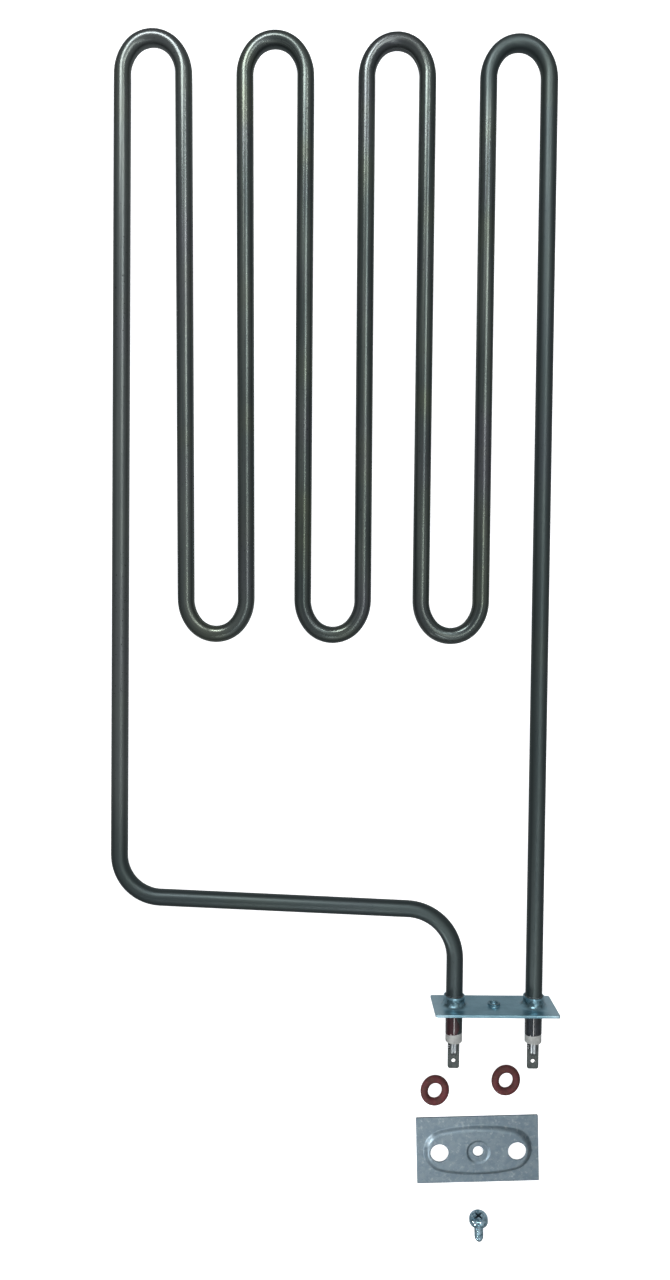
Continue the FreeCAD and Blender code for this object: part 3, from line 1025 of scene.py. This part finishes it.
# Inside pieces and pins: bright steel pins, the winding and its welded ends, packed mineral
# powder and the resin plugs. Only the pins show, between bush and tab.
steel_dark = (0.36, 0.37, 0.37)
steel_bright = (0.68, 0.69, 0.69)
wire_dark = (0.20, 0.19, 0.18)
wire_bright = (0.46, 0.44, 0.42)
powder_dark = (0.62, 0.60, 0.54)
powder_pale = (0.82, 0.80, 0.75)
turn_length = 0.0009


def drawn_steel(place):
    """Bright steel with fine lines along the pin."""
    lines = noise(stretched(place, (1, 0.03, 1)), 0.0003, 3.0)
    return {
        "Base Color": mixed(eased(lines, 0.35, 0.65), steel_dark, steel_bright),
        "Roughness": 0.18 + lines * 0.2,
        "Normal": grained(lines, 0.00003, 0.6),
    }


def wound_wire(place):
    """Oxidised resistance wire: the turns show as close bands."""
    wave = {"Vector": place, "Scale": 1 / turn_length}
    bands = place.node("ShaderNodeTexWave", None, wave, "Fac")
    cloud = noise(place, 0.004, 2.0)
    return {
        "Base Color": mixed(eased(bands * 0.7 + cloud * 0.3, 0.2, 0.8), wire_dark, wire_bright),
        "Roughness": 0.30 + cloud * 0.2,
        "Normal": grained(bands, 0.00015, 0.8),
    }


def packed_powder(place):
    """Pressed mineral grains."""
    grains = noise(place, 0.00025, 3.0)
    return {
        "Base Color": mixed(eased(grains, 0.35, 0.65), powder_dark, powder_pale),
        "Roughness": 0.8 + grains * 0.15,
        "Normal": grained(grains, 0.00005, 0.7),
    }


inside_finishes = {
    "terminal_pin": material("drawn_steel", drawn_steel, Metallic=1.0),
    "coil_joint": material("wound_wire", wound_wire, Metallic=0.9),
    "cold_filling": material("packed_powder", packed_powder),
    "end_seal": lacquers["left"],
}
for piece_name, finish in inside_finishes.items():
    for side_name in ("left", "right"):
        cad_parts[f"{piece_name}_{side_name}"].material_slots[0].material = finish
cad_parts["resistance_coil"].material_slots[0].material = inside_finishes["coil_joint"]

# Seal rings: moulded rings of brown-red silicone rubber that grip the tube ends outside the wall.
# They lie loose on the table.
seal_radius = 0.0021
seal_middle = 0.0061
seal_rest = 0.985
seal_sides = (96, 40)
seal_slack = 0.0003
seal_lean = math.radians(72)
seal_places = {"left": (-0.0300, -0.0512), "right": (0.0093, -0.0452)}
rubber_red = (0.125, 0.018, 0.024)
rubber_brown = (0.085, 0.020, 0.018)
rubber_worn = (0.165, 0.050, 0.036)


def ring_mesh(place):
    """A torus: a small circle carried round a large one, a little flattened where it rests.

    The slack ring is slightly oval: its radius varies as the cosine of twice the angle.
    """
    large, small = full_turn(seal_sides[0])[:, None], full_turn(seal_sides[1])
    rest = seal_rest * seal_radius
    height = np.maximum(seal_radius * np.sin(small), -rest) + table_level + rest
    radius = seal_middle + seal_radius * np.cos(small)
    radius = radius + seal_slack * np.cos(2 * (large - seal_lean))
    x, y = place[0] + radius * np.cos(large), place[1] + radius * np.sin(large)
    return grid_mesh(np.stack(np.broadcast_arrays(x, y, height), -1), closed=True)


def silicone_rubber(place):
    """Brown-red rubber with darker clouds, pale dusty patches and fine grain."""
    cloud = noise(place, 0.0035, 3.0)
    dust = noise(place, 0.0018, 4.0, 0.65)
    grain = noise(place, 0.0003, 2.0)
    body = mixed(eased(cloud, 0.38, 0.62), rubber_red, rubber_brown)
    return {
        "Base Color": mixed(eased(dust, 0.52, 0.70) * 0.7, body, rubber_worn),
        "Roughness": 0.50 + dust * 0.3,
        "Normal": grained(grain * 0.4 + dust, 0.00010, 0.6),
    }


rubber = material("silicone_rubber", silicone_rubber)
for side_name, place in seal_places.items():
    seal = new_piece(f"rubber_ring_{side_name}", *ring_mesh(place), rubber)
    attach(seal, "root")
    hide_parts(f"seal_ring_{side_name}")

# Clamp plate: a pressed plate of galvanised sheet. Its oval dome holds the seal rings, and a
# round recess takes the screw's head. The holes are punched and the edges sheared.
plate_length = 0.068
plate_width = 0.037
plate_sheet = 0.0012
plate_place = (-0.0056, -0.0849)
plate_turn = math.radians(1.9)
plate_rounding = 0.00018
plate_corner = 0.0004
dome_length = 0.060
dome_width = 0.028
dome_end_radius = 0.0121
dome_height = 0.0030
dome_draft = 0.0020
dome_foot_ease = 0.0003
dome_top_ease = 0.0012
tube_hole_radius = 0.0050
screw_hole_radius = 0.0029
recess_radius = 0.0064
recess_depth = 0.0009
recess_run = 0.0007
recess_ease = 0.0004
panel_join = 0.0105
end_counts = (60, 92)
middle_counts = (54, 92)
plate_steps = 44
plate_dark = (0.20, 0.265, 0.315)
plate_mid = (0.26, 0.33, 0.375)
plate_light = (0.43, 0.50, 0.54)
plate_spot = (0.13, 0.165, 0.19)
crystal_scale = 520.0
drift_scale = 500.0
drift_length = 0.002


def eased_corner(value, half_width):
    """0 below 0 and value above it, with a parabola between, half_width to each side."""
    soft = (value + half_width) ** 2 / (4 * half_width)
    return np.where(value < -half_width, 0.0, np.where(value > half_width, value, soft))


def inside_oval(x, y):
    """How far a point lies inside the dome's foot, an oval of four arcs that touch.

    It is the arc's radius less the distance from its centre. The end arcs count beyond the rays
    from the side arcs' centres through the end arcs' centres, and the side arcs elsewhere.
    """
    end_centre = dome_length / 2 - dome_end_radius
    half_width = dome_width / 2
    side_radius = (end_centre**2 + half_width**2 - dome_end_radius**2) / (
        2 * (half_width - dome_end_radius)
    )
    drop = side_radius - half_width
    x, y = np.abs(x), np.abs(y)
    from_end = dome_end_radius - np.hypot(x - end_centre, y)
    from_side = side_radius - np.hypot(x, y + drop)
    at_end = (x - end_centre) * drop > y * end_centre
    return np.where(at_end, from_end, from_side)


def ramp(distance, run, rise, low_ease, high_ease):
    """Climbs by rise over run, with eased corners at its foot and its top: the slope times the
    difference of two eased corners that lie a run apart."""
    slope = rise / run
    return slope * (eased_corner(distance, low_ease) - eased_corner(distance - run, high_ease))


def plate_top(x, y):
    """The sheet, plus the dome, less the recess."""
    dome = ramp(inside_oval(x, y), dome_draft, dome_height, dome_foot_ease, dome_top_ease)
    inside_recess = recess_radius - np.hypot(x, y)
    recess = ramp(inside_recess, recess_run, recess_depth, recess_ease, recess_ease)
    return plate_sheet + dome - recess


def plate_under(x, y):
    """The same form, lower by the sheet's thickness."""
    return plate_top(x, y) - plate_sheet


def clamp_mesh():
    """Three panels, one round each hole, turned and laid on the table."""
    half_length, half_width = plate_length / 2, plate_width / 2
    punched = [
        (-tube_side, tube_hole_radius, -half_length, -panel_join, end_counts),
        (0.0, screw_hole_radius, -panel_join, panel_join, middle_counts),
        (tube_side, tube_hole_radius, panel_join, half_length, end_counts),
    ]
    parts = []
    for hole_x, radius, low, high, counts in punched:
        top_level = float(plate_top(np.array([hole_x + radius]), np.array([0.0]))[0])
        halfway = plate_rounding * 0.3
        top = [
            (radius, top_level - plate_sheet + plate_rounding),
            (radius, top_level - plate_rounding),
            (radius + halfway, top_level - halfway),
            (radius + plate_rounding, top_level),
        ]
        under = [(radius + plate_rounding, top_level - plate_sheet)]
        parts.append(
            pressed_panel(
                (low, -half_width), (high, half_width), (hole_x, 0.0), counts,
                (plate_length, plate_width), plate_corner, plate_rounding,
                top, under, (plate_top, plate_under), plate_steps,
            )
        )
    points, faces = together(parts)
    x, y, z = points.T
    turned_x = x * math.cos(plate_turn) - y * math.sin(plate_turn) + plate_place[0]
    turned_y = x * math.sin(plate_turn) + y * math.cos(plate_turn) + plate_place[1]
    return np.stack([turned_x, turned_y, z + table_level], -1), faces


def galvanised_sheet(place):
    """Zinc spangle: small crystals of uneven grey, white bloom and dark specks. The crystals'
    borders are bent, as a noise moves the coordinates that they are laid out in."""
    drift_sockets = {"Vector": place, "Scale": drift_scale}
    drift = place.node("ShaderNodeTexNoise", None, drift_sockets, "Color")
    moves = {0: place, 1: stretched(drift, (drift_length,) * 3)}
    bent = place.node("ShaderNodeVectorMath", {"operation": "ADD"}, moves)
    crystal_sockets = {"Vector": bent, "Scale": crystal_scale}
    crystal = place.node("ShaderNodeTexVoronoi", None, crystal_sockets, "Color")
    cloud = noise(place, 0.006, 4.0, 0.6)
    bloom = noise(place, 0.0022, 4.0, 0.65)
    specks = noise(place, 0.0011, 2.0)
    body = mixed(eased(crystal * 0.35 + cloud * 0.75, 0.38, 0.72), plate_dark, plate_mid)
    body = mixed(eased(bloom, 0.54, 0.70) * 0.75, body, plate_light)
    body = mixed(eased(specks, 0.66, 0.74) * 0.6, body, plate_spot)
    return {
        "Base Color": body,
        "Roughness": 0.36 + crystal * 0.12 + bloom * 0.12,
        "Normal": grained(crystal * 0.25 + bloom + specks * 0.5, 0.00006, 0.4),
    }


galvanised = material("galvanised_sheet", galvanised_sheet, Metallic=0.8)
clamp = new_piece("clamp_pressing", *clamp_mesh(), galvanised)
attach(clamp, "root")
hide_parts("clamp_plate")

# Clamp screw: a short zinc-plated pan-head screw with a cross recess. It lies on its head's rim
# and its shank.
screw_length = 0.013
screw_tip_length = 0.0020
screw_tip_radius = 0.0016
screw_tip_edge = 0.0003
screw_radius = 0.0025
screw_head_radius = 0.0052
screw_head_height = 0.0039
screw_head_rounding = 0.0022
screw_rim = 0.0002
screw_thread_depth = 0.00020
screw_plain_length = 0.0012
screw_place = (-0.0051, -0.1230)
screw_turn = math.radians(4.3)
cross_half_length = 0.0026
cross_half_width = 0.0006
cross_depth = 0.0022
cross_floor_share = 0.45
cross_floor_dip = 0.0003
cross_edge = 0.00012
cross_turn = math.radians(42)
cross_first_ray = math.radians(15)
screw_pale = (0.54, 0.76, 0.88)
screw_deep = (0.20, 0.36, 0.44)
# The next colour is painted shade for the cross recess.
recess_painted_shade = (0.100, 0.190, 0.230)
shade_top = (screw_head_height - 0.0004, screw_head_height - 0.00005)
shade_foot = (0.0005, 0.0012)
shade_rim = (0.0026, 0.0028)
screw_sides = 96
screw_rings = 110
head_steps = 12


def cross_outline():
    """The recess in plan: twelve straight sides with the same number of points on each. Its
    first corner lies about cross_first_ray before the arm along the first axis."""
    far, near = cross_half_length, cross_half_width
    quarter = np.array([(far, -near), (far, near), (near, near)])
    turn = np.array([(0, 1), (-1, 0)])
    corners = [quarter]
    for _ in range(3):
        corners.append(corners[-1] @ turn)
    corners = np.vstack(corners)
    side_points = screw_sides // len(corners)
    share = np.arange(side_points)[:, None, None] / side_points
    between = corners * (1 - share) + np.roll(corners, -1, 0) * share
    return between.swapaxes(0, 1).reshape(-1, 2)


def screw_mesh():
    """Rings from the tip up the thread, over the head and down into the recess, then laid down.

    The thread's radius falls by a triangle wave of the height over the pitch less the angle
    over a full turn, and the wave fades out at the tip and under the head.
    """
    angle = full_turn(screw_sides) - cross_first_ray
    circle = np.stack([np.cos(angle), np.sin(angle)], -1)
    tip = [(0.0, -screw_length), (screw_tip_radius - screw_tip_edge, -screw_length)]
    layers = [(circle * radius, height) for radius, height in tip]
    for height in np.linspace(screw_tip_edge - screw_length, 0, screw_rings):
        cone = (height + screw_length) / screw_tip_length
        shank = screw_tip_radius + (screw_radius - screw_tip_radius) * min(cone, 1.0)
        fade = smooth_step(cone)
        fade = fade * smooth_step((-screw_plain_length - height) / thread_pitch + 0.5)
        wave = np.abs(2 * ((height / thread_pitch - angle / (2 * np.pi)) % 1) - 1)
        radius = shank - screw_thread_depth * fade * wave
        layers.append((circle * radius[:, None], height))
    head = [
        (screw_head_radius - screw_rim, 0.0),
        (screw_head_radius, screw_rim),
        *arc_points(
            screw_head_radius - screw_head_rounding,
            screw_head_height - screw_head_rounding,
            screw_head_rounding, 0, 90, head_steps,
        ),
    ]
    layers += [(circle * radius, height) for radius, height in head]
    cross = cross_outline() @ np.array(Matrix.Rotation(cross_turn, 2))
    floor = screw_head_height - cross_depth
    recess = [
        (1.0 + 2 * cross_edge / cross_half_length, screw_head_height),
        (1.0, screw_head_height - cross_edge),
        (cross_floor_share, floor),
        (0.0, floor - cross_floor_dip),
    ]
    layers += [(cross * share, height) for share, height in recess]
    flats = np.array([flat for flat, height in layers])
    along = np.array([[height] * screw_sides for flat, height in layers])
    points = np.stack([flats[..., 0], along, flats[..., 1]], -1).reshape(-1, 3)
    tilt = math.atan2(screw_head_radius - screw_radius, screw_length - screw_tip_length)
    turn = Matrix.Rotation(screw_turn, 3, "Z") @ Matrix.Rotation(tilt, 3, "X")
    laid = points @ np.array(turn).T
    laid += (*screw_place, table_level - laid[:, 2].min())
    return laid, grid_faces(len(layers), screw_sides), points


def screw_plating(place):
    """Bright bluish zinc with cloudy deeper patches; painted shade makes the recess nearly black.

    The attribute upright is each point's place on the screw before it was laid down.
    """
    patch = noise(place, 0.0022, 3.0)
    grain = noise(place, 0.0008, 3.0)
    upright = place.node("ShaderNodeAttribute", {"attribute_name": "upright"}, None, "Vector")
    flat = stretched(upright, (1, 0, 1))
    radius = flat.node("ShaderNodeVectorMath", {"operation": "LENGTH"}, {0: flat}, "Value")
    height = upright.axis("Y")
    # Painted shade: the cross recess is darkened nearly to black.
    recess = (1 - eased(height, *shade_top)) * eased(height, *shade_foot)
    recess = recess * (1 - eased(radius, *shade_rim))
    body = mixed(eased(patch, 0.46, 0.60), screw_pale, screw_deep)
    return {
        "Base Color": mixed(recess, body, recess_painted_shade),
        "Roughness": 0.07 + grain * 0.12,
    }


screw_points, screw_faces, screw_upright = screw_mesh()
screw_finish = material("screw_plating", screw_plating, Metallic=0.8)
screw = new_piece(
    "pan_screw", screw_points, screw_faces, screw_finish, 40.0, ("upright", screw_upright)
)
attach(screw, "root")
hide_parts("clamp_screw")
